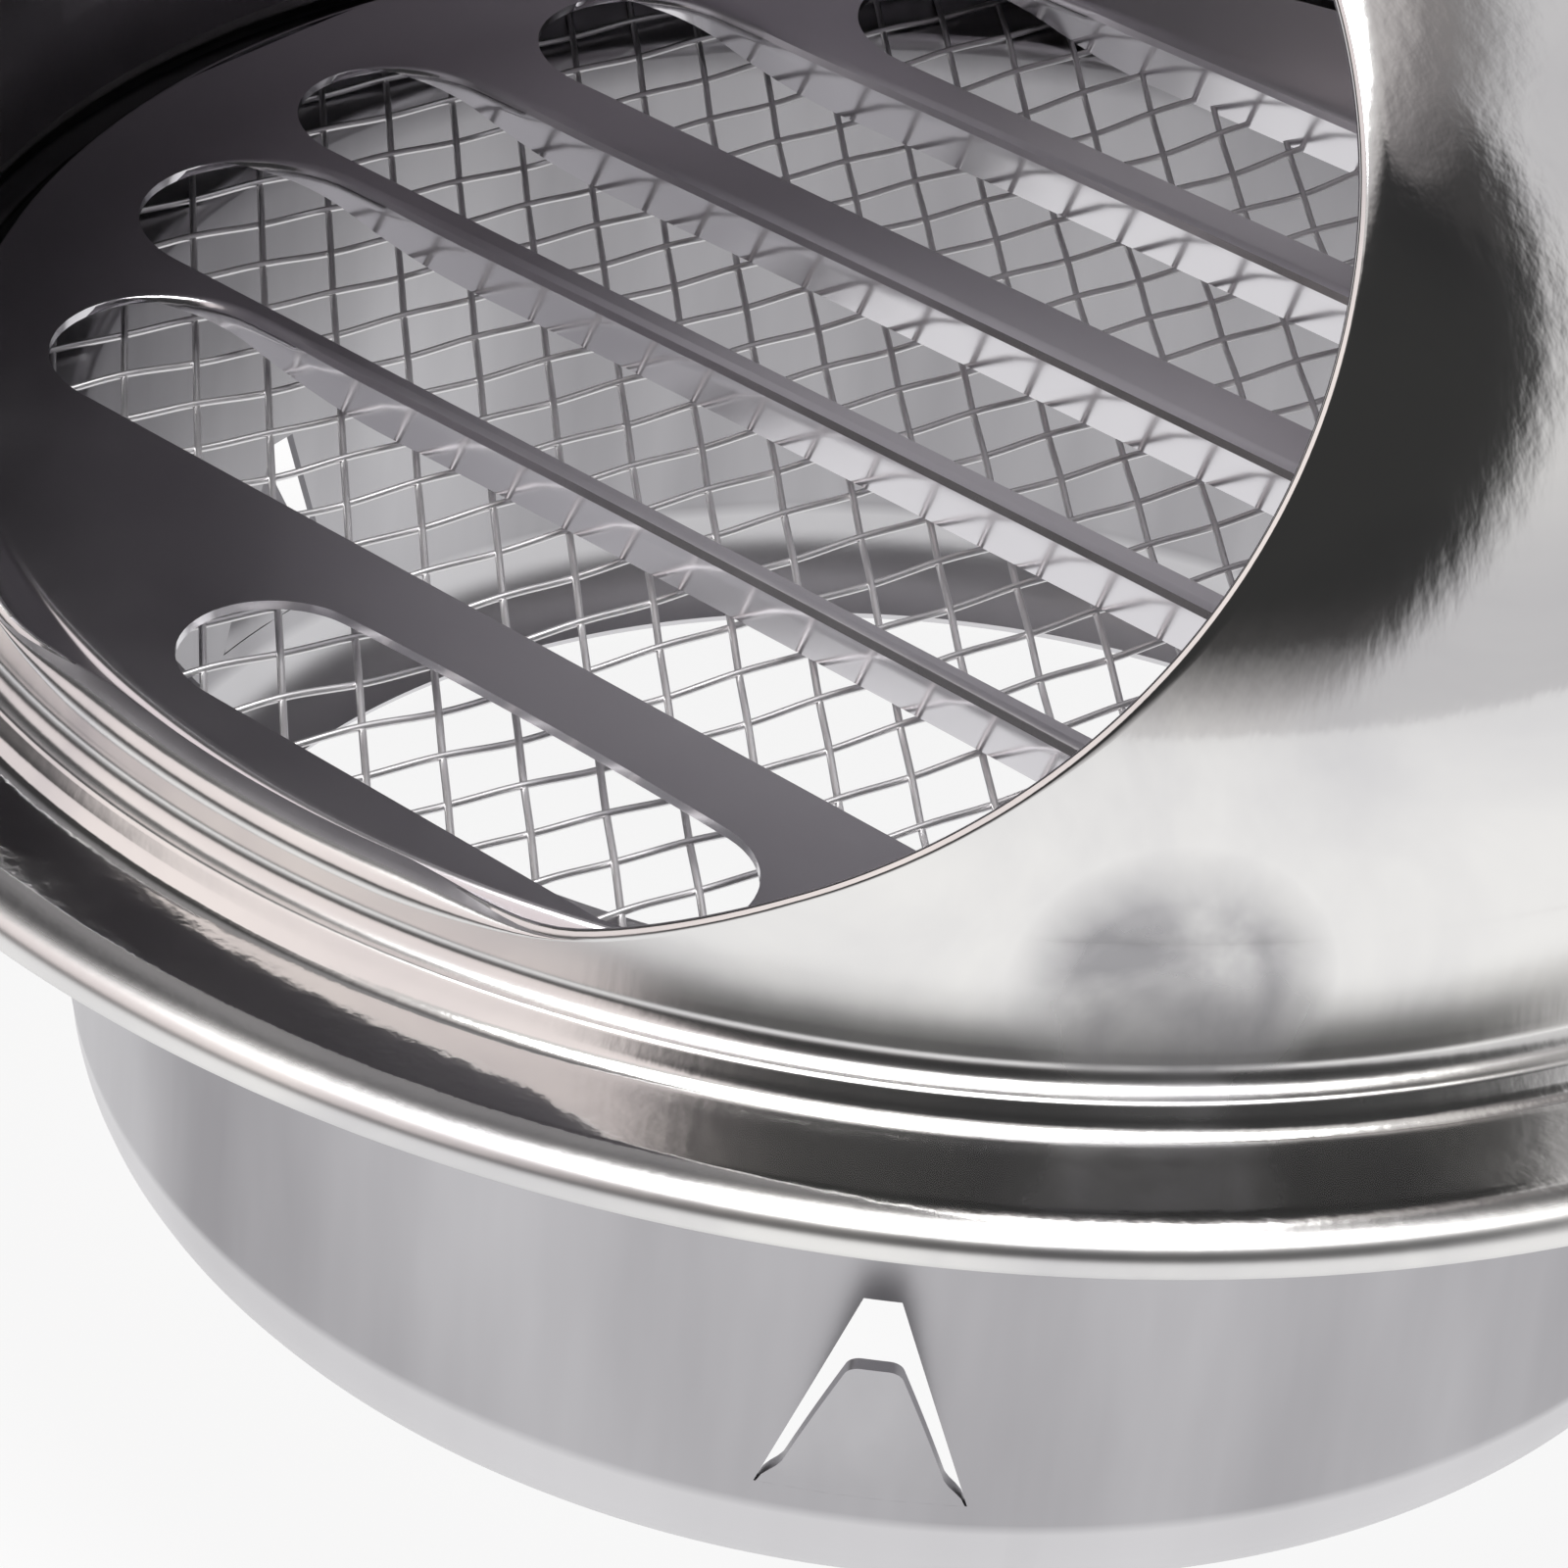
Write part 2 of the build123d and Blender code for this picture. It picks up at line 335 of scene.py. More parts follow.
def flared(block):
    """Spreads the wall by a power of its fall: nothing at the dome, all the flare at the fillet."""
    fall = np.clip((dome_start - block[..., 2:]) / (dome_start - fillet_top), 0.0, 1.0)
    spread = 1.0 + wall_flare * fall**flare_power / dome_radius
    return block * np.concatenate([spread, spread, np.ones_like(spread)], -1)


def wall(top_row, radius):
    """Rows of an upright wall in even steps from the given row down to the foot's fillet."""
    low_row = turned(radius, turn, fillet_top)
    share = np.linspace(0.0, 1.0, wall_rows + 2)[1:-1, None, None]
    return top_row + (low_row - top_row) * share


wall_outer_block = wall(dome_outer_block[-1], dome_radius)
wall_inner_block = wall(dome_inner_block[-1], inner_wall)
going_down = [rim_block, lip_outer_block, dome_outer_block, wall_outer_block]
coming_up = [wall_inner_block[::-1], dome_inner_block[::-1], lip_inner_block[::-1]]
hood_grid = np.concatenate([*map(flared, going_down), foot_block, *map(flared, coming_up)])
hood_grids = [(hood_grid, True, True, None)]
hood = piece("hood_sheet", hood_grids, "hood", recalculate=True)

# %% [markdown]
# ### Inside of the hood
# The inside will get a finish of its own. A face belongs to it when it looks toward the middle
# of the dome, which the sign of a product of its place and its normal tells, and when it lies
# above the foot.

# %% Which faces of the hood are its inside
inward_limit = -1.0
face_count = len(hood.data.polygons)
middles, normals = np.empty(face_count * 3), np.empty(face_count * 3)
hood.data.polygons.foreach_get("center", middles)
hood.data.polygons.foreach_get("normal", normals)
middles, normals = middles.reshape(-1, 3), normals.reshape(-1, 3)
inward = ((middles - [0.0, 0.0, dome_start * MM]) * normals).sum(1) < inward_limit * MM
hood_inside = inward & (middles[:, 2] > fillet_top * MM)
print("inside faces", hood_inside.sum(), "of", face_count)

# %% [markdown]
# ## Collar
# The spigot is a rolled tube with its upper end turned out into a flange that the rolled rim
# holds. Three tabs are lanced out of it. The columns of the tube's grid lean with the sides of
# each window, so the windows have clean straight edges, and the tabs are bent strips of the
# same curved sheet. Solidify gives both the sheet's thickness, and it is applied at once, so
# that the edges of the cut sheet can be marked sharp.


# %% Sheet thickness
def thicken(made, thickness, crease):
    """Gives a surface its sheet thickness, below or inside it, and marks the cut edges sharp."""
    thick = made.modifiers.new("sheet", "SOLIDIFY")
    thick.thickness = thickness * MM
    thick.offset = -1.0
    ready = made.evaluated_get(bpy.context.evaluated_depsgraph_get())
    solid = bpy.data.meshes.new_from_object(ready)
    made.modifiers.clear()
    made.data = solid
    solid.set_sharp_from_angle(angle=np.radians(crease))
    print(made.name, "solid", len(solid.vertices), "points", len(solid.polygons), "faces")


# %% Collar sizes and tube
collar_sheet = 0.6
spigot_radius = 49.0
spigot_end = -39.0
neck_top = -33.0
neck_radius = 48.8
neck_roll = 6.2
collar_level = 0.75
collar_bend = 0.4
collar_edge = 68.2
tab_turns = np.radians(35.0 + np.array([0.0, 120.0, -120.0]))
tab_foot = -31.0
tab_height = 12.8
tab_base, tab_end = 5.4, 0.95
lane_inner, lane_outer = np.radians(6.0), np.radians(12.0)

tube_heights = np.concatenate([
    np.linspace(neck_top + 0.8, tab_foot, 4)[:-1],
    np.linspace(tab_foot, tab_foot + tab_height, 14),
    np.linspace(tab_foot + tab_height, collar_level - collar_bend, 12)[1:-1],
])
collar_section = np.concatenate([
    arc((neck_radius - neck_roll, neck_top - 0.3), neck_roll, -66.0, 0.0, 9),
    np.stack([np.full(len(tube_heights), spigot_radius), tube_heights], -1),
    arc((spigot_radius + collar_bend, collar_level - collar_bend), collar_bend, 180.0, 90.0, 5),
    [[dome_radius, collar_level], [collar_edge, collar_level]],
])
print("collar section", len(collar_section), "points")

# %% Columns of the tube that lean with the windows
column_pitch = 1.0
window_fade = 8.0


def window_half(height):
    """Half angle of a tab's window: wide at its foot, narrow at its top, evened out above it."""
    share = np.clip((height - tab_foot) / tab_height, 0.0, 1.0)
    half = (tab_base + (tab_end - tab_base) * share) / spigot_radius
    above = smoothstep((height - tab_foot - tab_height) / window_fade)
    return half + (lane_inner - half) * above


column_turn = np.radians(np.arange(0.0, 360.0, column_pitch))
away = (column_turn[None] - tab_turns[:, None] + np.pi) % (2 * np.pi) - np.pi
nearest = np.argmin(np.abs(away), 0)
offset = away[nearest, np.arange(len(column_turn))]
half = window_half(collar_section[:, 1])[:, None]
on_window = offset * half / lane_inner
lane_share = (np.abs(offset) - lane_inner) / (lane_outer - lane_inner)
beside_window = np.sign(offset) * (half + lane_share * (lane_outer - half))
leaned = np.where(np.abs(offset) <= lane_inner, on_window, beside_window)
leaned = np.where(np.abs(offset) < lane_outer, leaned, offset)
tube = turned(collar_section[:, :1], tab_turns[nearest] + leaned, collar_section[:, 1:])
row_middle = (collar_section[1:, 1] + collar_section[:-1, 1])[:, None] / 2
face_offset = np.abs(offset + np.radians(column_pitch / 2))
window = (row_middle > tab_foot) & (row_middle < tab_foot + tab_height)
window = window & (face_offset < lane_inner)
print("collar grid", tube.shape, "window faces", window.sum())

# %% [markdown]
# ### Spring tabs
# Each tab is pressed out of its window and grips the duct. It bends at its foot, leans straight
# outward from there and narrows to a rounded tip. The slit beside it opens quickly from almost
# nothing at the foot, as a lancing tool leaves it, so the tab's width is one formula of the
# length along it.

# %% Tabs that bend outward at the foot
tab_lift = np.radians(20.0)
tab_bend = 2.0
tab_length = 12.6
tab_tip, tip_round, tip_half = 0.6, 0.5, 1.15
foot_slit, slit_growth, slit = 0.12, 2.4, 0.75
tip_swing = np.linspace(0.0, np.pi / 2, 7)
along = np.concatenate([
    np.linspace(0.0, tab_length - tab_tip, 22)[:-1],
    tab_length - tab_tip + tab_tip * np.sin(tip_swing),
])
bent = np.minimum(along, tab_bend * tab_lift) / tab_bend
beyond = np.maximum(along - tab_bend * tab_lift, 0.0)
lean_out = tab_bend * (1 - np.cos(bent)) + beyond * np.sin(tab_lift)
lean_up = tab_bend * np.sin(bent) + beyond * np.cos(tab_lift)
half_width = tab_base - slit + (tip_half + slit - tab_base) * along / tab_length
half_width += (slit - foot_slit) * (1.0 - smoothstep(along / slit_growth))
half_width[-len(tip_swing):] -= tip_round * (1.0 - np.cos(tip_swing))
across = np.linspace(-1.0, 1.0, 9)
tabs = [
    turned(
        spigot_radius + lean_out[:, None],
        middle + across * half_width[:, None] / spigot_radius,
        tab_foot + lean_up[:, None],
    )
    for middle in tab_turns
]
collar_grids = [(tube, False, True, ~window)] + [(tab, False, False, None) for tab in tabs]
collar = piece("collar_sheet", collar_grids, "collar")
thicken(collar, collar_sheet, 35.0)

# %% [markdown]
# ## Louvre plate
# A thin disc is punched with slots, and the back edge of each slot is pressed down into a lip
# that dies away at both ends. Each slot edge is one curve from side to side of the disc: beyond
# the slot's ends its two edges run together. The bars are then strips stretched between the
# edge of one slot and the edge of the next, which gives clean rounded ends without any cutting.

# %% Plate and slot sizes
plate_sheet = 0.5
plate_top = 4.7
plate_flat = 54.4
plate_foot = 56.2
plate_rim = 58.5
plate_rim_top = 2.6
slot_end = 48.8
slots = [(41.7, 51.2), (23.6, 36.2), (8.7, 22.5), (-5.6, 7.1), (-23.5, -9.9), (-41.0, -26.6)]
front_shift, front_half = 4.4, 17.3
back_bow = 0.6
column_step = 1.0
column_rounding = 0.0006
cap_points = 14


def slot_measures(slot):
    """Middle line, end radius, half length and sideways shift of a slot."""
    far, near = slot
    middle, round_radius = (far + near) / 2, (near - far) / 2
    if slot == slots[0]:
        return middle, round_radius, front_half, front_shift
    return middle, round_radius, np.sqrt(slot_end**2 - middle**2), 0.0


# %% Columns and slot edges
cap = np.sin(np.linspace(0.0, np.pi / 2, cap_points))
half_columns = np.arange(column_step, plate_flat, column_step)
columns = [-half_columns, [0.0], half_columns]
for _, size, half, shift in map(slot_measures, slots):
    columns += [shift - half + size - size * cap, shift + half - size + size * cap]
columns = np.unique(np.round(np.concatenate(columns), 3))


def slot_edges(slot):
    """Far and near edge over the columns: the middle line less or plus half the slot's width.

    That half is the round's radius, falls along a circle at the ends and is 0 beyond them. The
    far edge bows back by a parabola."""
    middle, round_radius, half, shift = slot_measures(slot)
    off = np.abs(columns - shift)
    out = np.clip((off - half + round_radius) / round_radius, 0.0, 1.0)
    wide = round_radius * np.sqrt(1.0 - out**2)
    wide[off >= half - column_rounding] = 0.0
    bow = back_bow * np.clip(1.0 - (off / half) ** 2, 0.0, 1.0) * wide / round_radius
    return middle - wide - bow, middle + wide


edges = [slot_edges(slot) for slot in slots]
print("slots", len(edges), "on", len(columns), "columns")


# %% Bars between the slots
def strip(front, back, rows):
    """Flat strip between two edges: straight lines across, held inside the disc."""
    across = front + (back - front) * np.linspace(0.0, 1.0, rows)[:, None]
    room = np.sqrt(np.maximum(plate_flat**2 - across**2, 0.0))
    return np.stack([np.clip(columns, -room, room), across], -1)


def lifted(flat, height):
    """Turns (x, h) points, h toward the mouth, into points of the object at a height."""
    height = np.broadcast_to(height, flat.shape[:-1])
    return np.stack([flat[..., 0], -flat[..., 1], height], -1)


def end_arc(middle, side):
    """The disc's circle beyond the first or last slot, level with the slot's middle at its ends."""
    limit = np.sqrt(plate_flat**2 - middle**2)
    return side * np.sqrt(plate_flat**2 - np.clip(columns, -limit, limit) ** 2)


front_arc = end_arc(sum(slots[0]) / 2, 1.0)
back_arc = end_arc(sum(slots[-1]) / 2, -1.0)
fronts = [front_arc] + [far for far, near in edges]
backs = [near for far, near in edges] + [back_arc]
bars = [lifted(strip(front, back, 10), plate_top) for front, back in zip(fronts, backs)]
print("bars", len(bars), "points across", bars[0].shape[1])

# %% [markdown]
# ### Lips and the rim of the plate
# The lips stiffen the bars. Each is a strip that bends down from a slot's far edge and turns a
# little past upright, so that it mirrors the table through the screen. Outside the flat, the
# plate steps down by a short skirt to the rim that the hood holds. The skirt's columns are the
# ends of the bars, so the two share their points.

# %% Lips
lip_angle = np.radians(104.0)
lip_bend = 0.6
lip_length = 4.0
lip_growth = 16.0


def lip(far_edge, tip):
    """Strip from a slot's far edge: an arc down, then a straight line at the lip's angle.

    Its length grows with the sine of the distance from the slot's ends."""
    room = np.clip((tip - np.abs(columns)) / lip_growth, 0.0, 1.0)
    size = np.sin(room * np.pi / 2)
    run = np.linspace(0.0, lip_length, 10)[:, None] * size
    curl = np.minimum(run / lip_bend, lip_angle)
    rest = np.maximum(run - lip_bend * lip_angle, 0.0)
    reach = lip_bend * np.sin(curl) + rest * np.cos(lip_angle)
    drop = lip_bend * (1 - np.cos(curl)) + rest * np.sin(lip_angle)
    within = np.clip(columns, -tip, tip)
    flat = np.stack([np.broadcast_to(within, reach.shape), far_edge + reach], -1)
    return lifted(flat[::-1], plate_top - drop[::-1])


lips = [lip(edge[0], slot_measures(slot)[2]) for edge, slot in zip(edges[1:], slots[1:])]
print("lips", len(lips), "drop", plate_top - min(grid[..., 2].min() for grid in lips), "mm")

# %% Rim of the plate
foot_bend, top_bend = 0.6, 0.7
bar_ends = [bar[:, end] for bar in bars for end in (0, -1)]
ends = np.concatenate(bar_ends + [bars[0][0], bars[-1][-1]])
plate_turn = np.unique(np.round(np.arctan2(ends[:, 0], -ends[:, 1]), 7))
skirt_section = np.concatenate([
    [[plate_rim, plate_rim_top]],
    arc((plate_foot + foot_bend, plate_rim_top + foot_bend), foot_bend, -90.0, -142.0, 5),
    arc((plate_flat, plate_top - top_bend), top_bend, 38.0, 90.0, 7),
])
skirt = turned(skirt_section[:, :1], plate_turn, skirt_section[:, 1:])
plate_grids = [(grid, False, False, None) for grid in bars + lips]
plate_grids.append((skirt, False, True, None))
plate = piece("slotted_plate", plate_grids, "louvre_plate", crease=50.0)
thicken(plate, plate_sheet, 35.0)

# %% [markdown]
# ## Insect screen
# Two families of thin wires cross at a slant and go over and under each other, so the openings
# are rhombs. Each wire is a round section carried along a wavy line. The wave's half period is
# the distance between crossings, and neighbouring wires are half a wave apart. The middle hangs
# a little lower, in a shallow dish, so that the wires keep clear of the lips.

# %% Woven wires
wire_radius = 0.2
wire_spacing = 3.85
weave_rise = 0.08
screen_level = 1.73
screen_radius = 58.3
dish_radius, dish_edge, dish_depth = 36.0, 13.0, 0.95
wire_turns = np.radians([-44.0, 75.0])
wires_each_side = 15
steps_per_crossing = 6
crossing = wire_spacing / np.sin(wire_turns[1] - wire_turns[0])
section_turn = np.radians(np.arange(0.0, 360.0, 60.0))
wires = []
for family in (0, 1):
    direction = np.array([np.cos(wire_turns[family]), np.sin(wire_turns[family])])
    beside_wire = np.array([-direction[1], direction[0]])
    other = wire_turns[1 - family]
    other_normal = np.array([-np.sin(other), np.cos(other)])
    side = 1.0 if family == 0 else -1.0
    for number in range(-wires_each_side, wires_each_side + 1):
        half_length = np.sqrt(screen_radius**2 - (number * wire_spacing) ** 2)
        run = np.arange(-half_length, half_length, crossing / steps_per_crossing)
        line = number * wire_spacing * beside_wire + run[:, None] * direction
        crossed = line @ other_normal / wire_spacing
        wave = side * weave_rise * np.cos(np.pi * (crossed + number))
        ring = wire_radius * np.cos(section_turn)
        flat = line[:, None] + ring[:, None] * beside_wire
        dish = smoothstep((np.hypot(line[:, 0], line[:, 1]) - dish_radius) / dish_edge)
        middle = screen_level - dish_depth * (1.0 - dish) + wave
        height = middle[:, None] + wire_radius * np.sin(section_turn)
        wire = np.concatenate([flat, height[..., None]], -1)
        start, end = (np.broadcast_to(wire[row].mean(0), wire[:1].shape) for row in (0, -1))
        wires.append((np.concatenate([start, wire, end]), False, True, None))
screen = piece(
    "woven_screen", wires, "insect_screen", crease=80.0, recalculate=True)

# %% [markdown]
# ## Finishes
# All pieces are stainless steel, and only their surfaces differ. Image textures would need
# unwrapped pieces and would show their pixels close up, so each finish is worked out from noise.
# It reads Object coordinates, which stay on the metal in every view, and each grain is given in
# millimetres. One function adds a node, another turns a written colour into the light that the
# shader works with.


# %% Colour and node helpers
def colour(code):
    """A written sRGB colour such as d8d4d4 as linear red, green, blue and alpha."""
    part = np.array([int(code[i:i + 2], 16) for i in (0, 2, 4)]) / 255.0
    linear = np.where(part <= 0.04045, part / 12.92, ((part + 0.055) / 1.055) ** 2.4)
    return (*linear.tolist(), 1.0)


def per_mm(size):
    """Noise scale for a pattern whose grains are so many millimetres across: one over the size."""
    return 1.0 / (size * MM)


def add(tree, kind, inputs=None, **settings):
    """Adds one node. Settings are its own attributes, inputs are values or sockets that feed it."""
    node = tree.nodes.new(kind)
    for name, value in settings.items():
        setattr(node, name, value)
    for name, value in (inputs or {}).items():
        if isinstance(value, bpy.types.NodeSocket):
            tree.links.new(value, node.inputs[name])
        else:
            node.inputs[name].default_value = value
    return node


def finish(name, objects):
    """The empty node tree of a new material, which is put on the given objects."""
    material = bpy.data.materials.new(name)
    material.use_nodes = True
    material.node_tree.nodes.clear()
    for made in objects:
        made.data.materials.clear()
        made.data.materials.append(material)
    print("finish", name, "on", [made.name for made in objects])
    return material.node_tree


# %% [markdown]
# ## Polished steel of the hood
# The drawn sheet was buffed on a wheel. The eye gets a mirror with a faint haze. Slow waves from
# the press bend the reflections, and upright buffing strokes feather their edges. The wheel
# reaches the foot of the wall and the rolled hem less well, so these are duller. A single even
# roughness would look like chrome plate, so haze, waves, strokes and wear are each one pattern.

# %% Polished steel: haze, and the places that the wheel reached less
haze_grain = 9.0
wall_zone, seat_zone, hem_zone = (9.5, 7.5), (2.3, 2.9), (67.2, 68.2)
tree = finish("polished_stainless_steel", [hood])
place = add(tree, "ShaderNodeTexCoord").outputs["Object"]
haze = add(tree, "ShaderNodeTexNoise", {
    "Vector": place, "Scale": per_mm(haze_grain), "Detail": 4.0})
hazy = add(tree, "ShaderNodeMapRange", {
    "Value": haze.outputs["Fac"], "To Min": 0.05, "To Max": 0.12})
hood_height = add(tree, "ShaderNodeSeparateXYZ", {"Vector": place}).outputs["Z"]
below_dome = add(tree, "ShaderNodeMapRange", {
    "Value": hood_height, "To Max": 0.12,
    "From Min": wall_zone[0] * MM, "From Max": wall_zone[1] * MM})
above_flange = add(tree, "ShaderNodeMapRange", {
    "Value": hood_height, "From Min": seat_zone[0] * MM, "From Max": seat_zone[1] * MM})
wall_rough = add(tree, "ShaderNodeMath", {
    0: below_dome.outputs["Result"], 1: above_flange.outputs["Result"], 2: hazy.outputs["Result"],
}, operation="MULTIPLY_ADD")
flat_place = add(tree, "ShaderNodeVectorMath", {
    0: place, 1: (1.0, 1.0, 0.0)}, operation="MULTIPLY")
from_axis = add(tree, "ShaderNodeVectorMath", {
    0: flat_place.outputs["Vector"]}, operation="LENGTH")
hem = add(tree, "ShaderNodeMapRange", {
    "Value": from_axis.outputs["Value"], "To Max": 0.26,
    "From Min": hem_zone[0] * MM, "From Max": hem_zone[1] * MM})
buffed = add(tree, "ShaderNodeMath", {0: wall_rough.outputs[0], 1: hem.outputs["Result"]})
print("haze grain", haze_grain, "mm, dull hem from", hem_zone[0], "mm off the axis")

# %% Polished steel: press waves and upright buffing strokes
# Real strokes are a tenth of this width. They are drawn as coarse as they need to show.
wave_grain, wave_depth = 16.0, 0.35
stroke_grain, stroke_depth, stroke_stretch = 1.3, 0.03, 0.12
slow = add(tree, "ShaderNodeTexNoise", {
    "Vector": place, "Scale": per_mm(wave_grain), "Detail": 1.0})
waves = add(tree, "ShaderNodeBump", {
    "Height": slow.outputs["Fac"], "Strength": 0.25, "Distance": wave_depth * MM})
upright = add(tree, "ShaderNodeMapping", {
    "Vector": place, "Scale": (1.0, 1.0, stroke_stretch)})
strokes = add(tree, "ShaderNodeTexNoise", {
    "Vector": upright.outputs["Vector"], "Scale": per_mm(stroke_grain), "Detail": 3.0})
surface = add(tree, "ShaderNodeBump", {
    "Height": strokes.outputs["Fac"], "Strength": 0.5, "Distance": stroke_depth * MM,
    "Normal": waves.outputs["Normal"]})
print("waves", wave_grain, "mm, strokes", stroke_grain, "by", stroke_grain / stroke_stretch, "mm")

# %% Polished steel: smears of polish
smear_grain = 24.0
smear = add(tree, "ShaderNodeTexNoise", {
    "Vector": place, "Scale": per_mm(smear_grain), "Detail": 6.0, "Distortion": 0.8})
smeared = add(tree, "ShaderNodeMapRange", {
    "Value": smear.outputs["Fac"], "From Min": 0.35, "From Max": 0.62})
clean = add(tree, "ShaderNodeMix", {
    0: smeared.outputs["Result"], 6: colour("d2d1d3"), 7: colour("edecea")}, data_type="RGBA")
print("smears", smear_grain, "mm")

# %% Polished steel: a spot low on the wall that was rubbed dull
rub_grain = 6.0
rubbed_spot = np.array([41.8, -40.2, 8.2]) * MM
spot_edge, spot_core = 7.6, 4.6
from_spot = add(tree, "ShaderNodeVectorMath", {
    0: place, 1: tuple(rubbed_spot)}, operation="DISTANCE")
spot = add(tree, "ShaderNodeMapRange", {
    "Value": from_spot.outputs["Value"],
    "From Min": spot_edge * MM, "From Max": spot_core * MM})
rub = add(tree, "ShaderNodeTexNoise", {
    "Vector": place, "Scale": per_mm(rub_grain), "Detail": 4.0, "Distortion": 0.4})
rubbed = add(tree, "ShaderNodeMapRange", {
    "Value": rub.outputs["Fac"], "From Min": 0.12, "From Max": 0.68})
dull = add(tree, "ShaderNodeMath", {
    0: spot.outputs["Result"], 1: rubbed.outputs["Result"]}, operation="MULTIPLY")
worn = add(tree, "ShaderNodeMix", {
    0: dull.outputs[0], 6: clean.outputs[2], 7: colour("a9a8ab")}, data_type="RGBA")
print("rubbed spot", 2 * spot_core, "to", 2 * spot_edge, "mm across at", rubbed_spot)

# %% Polished steel: specks of grit and the shader
speck_spacing = 17.0
grit = add(tree, "ShaderNodeTexVoronoi", {"Vector": place, "Scale": per_mm(speck_spacing)})
free = add(tree, "ShaderNodeMapRange", {
    "Value": grit.outputs["Distance"], "From Min": 0.012, "From Max": 0.022})
steel = add(tree, "ShaderNodeMix", {
    0: free.outputs["Result"], 6: colour("6b6768"), 7: worn.outputs[2]}, data_type="RGBA")
rough = add(tree, "ShaderNodeMath", {
    0: dull.outputs[0], 1: 0.2, 2: buffed.outputs[0]}, operation="MULTIPLY_ADD")
shader = add(tree, "ShaderNodeBsdfPrincipled", {
    "Base Color": steel.outputs[2], "Metallic": 1.0, "Roughness": rough.outputs[0],
    "Normal": surface.outputs["Normal"]})
add(tree, "ShaderNodeOutputMaterial", {"Surface": shader.outputs["BSDF"]})
print("specks about", speck_spacing, "mm apart")

# %% [markdown]
# ## Drawn inside of the hood
# The wheel doesn't go inside the dome, so the sheet stays as the press left it. The eye gets a
# matt grey that only hints at what it reflects, with soft draw marks. The hood stays one closed
# mesh, and its inner faces take a second material.

# %% Drawn inside of the hood
draw_mark = 5.0
tree = finish("drawn_stainless_inside", [])
place = add(tree, "ShaderNodeTexCoord").outputs["Object"]
marks = add(tree, "ShaderNodeTexNoise", {
    "Vector": place, "Scale": per_mm(draw_mark), "Detail": 4.0})
rough = add(tree, "ShaderNodeMapRange", {
    "Value": marks.outputs["Fac"], "To Min": 0.26, "To Max": 0.38})
shader = add(tree, "ShaderNodeBsdfPrincipled", {
    "Base Color": colour("cfccd0"), "Metallic": 1.0, "Roughness": rough.outputs["Result"]})
add(tree, "ShaderNodeOutputMaterial", {"Surface": shader.outputs["BSDF"]})
hood.data.materials.append(bpy.data.materials["drawn_stainless_inside"])
hood.data.polygons.foreach_set("material_index", hood_inside.astype(np.int32))
print("draw marks", draw_mark, "mm on", hood_inside.sum(), "faces")

# %% [markdown]
# ## Satin steel of the collar
# The tube is rolled from strip with its mill finish. The eye gets a soft grey sheen with upright
# clouds. These are partly the mill finish and partly painted reflection, standing in for the uneven
# room and table shadow that the sheen mirrors. A paler band is painted reflection of the white table
# at the turned-in free end. The clouds are noise stretched along the tube, which needs no unwrapped
# surface.

# %% Satin steel of the collar
cloud_grain, cloud_stretch = 22.0, 0.18
painted_reflection_band_zone = (-32.2, -33.0)
tree = finish("satin_stainless_steel", [collar])
place = add(tree, "ShaderNodeTexCoord").outputs["Object"]
drawn = add(tree, "ShaderNodeMapping", {"Vector": place, "Scale": (1.0, 1.0, cloud_stretch)})
cloud = add(tree, "ShaderNodeTexNoise", {
    "Vector": drawn.outputs["Vector"], "Scale": per_mm(cloud_grain), "Detail": 5.0})
clouds_and_painted_reflection_share = add(tree, "ShaderNodeMapRange", {
    "Value": cloud.outputs["Fac"], "From Min": 0.3, "From Max": 0.7})
# Painted reflection: these tone clouds, partly the mill finish, stand in for the uneven room and
# table shadow that the satin sheen mirrors.
clouds_and_painted_reflection_tone = add(tree, "ShaderNodeMix", {
    0: clouds_and_painted_reflection_share.outputs["Result"], 6: colour("9d9b9f"), 7: colour("d4d3d6")}, data_type="RGBA")
collar_height = add(tree, "ShaderNodeSeparateXYZ", {"Vector": place}).outputs["Z"]
# Painted reflection: the paler band at the turned-in free end stands in for the white table mirrored
# there.
painted_table_reflection_band = add(tree, "ShaderNodeMapRange", {
    "Value": collar_height, "To Max": 0.6,
    "From Min": painted_reflection_band_zone[0] * MM, "From Max": painted_reflection_band_zone[1] * MM})
tone = add(tree, "ShaderNodeMix", {
    0: painted_table_reflection_band.outputs["Result"], 6: clouds_and_painted_reflection_tone.outputs[2], 7: colour("efeef0")}, data_type="RGBA")
rough = add(tree, "ShaderNodeMapRange", {
    "Value": cloud.outputs["Fac"], "To Min": 0.30, "To Max": 0.42})
shader = add(tree, "ShaderNodeBsdfPrincipled", {
    "Base Color": tone.outputs[2], "Metallic": 1.0, "Roughness": rough.outputs["Result"]})
add(tree, "ShaderNodeOutputMaterial", {"Surface": shader.outputs["BSDF"]})
print("clouds", cloud_grain, "by", cloud_grain / cloud_stretch, "mm, pale below", painted_reflection_band_zone[1], "mm")

# %% [markdown]
# ## Bright-rolled steel and drawn wire
# The plate is bright-rolled strip. The eye gets a soft mirror: the bars take the dark of the
# hood, and the lips take the white table through the screen. The wire was pulled through a die,
# which leaves a pale surface too fine to mirror, so it stays light on dark and dark on white.
# Both are one tone with a little noise in the roughness, so one loop makes them.

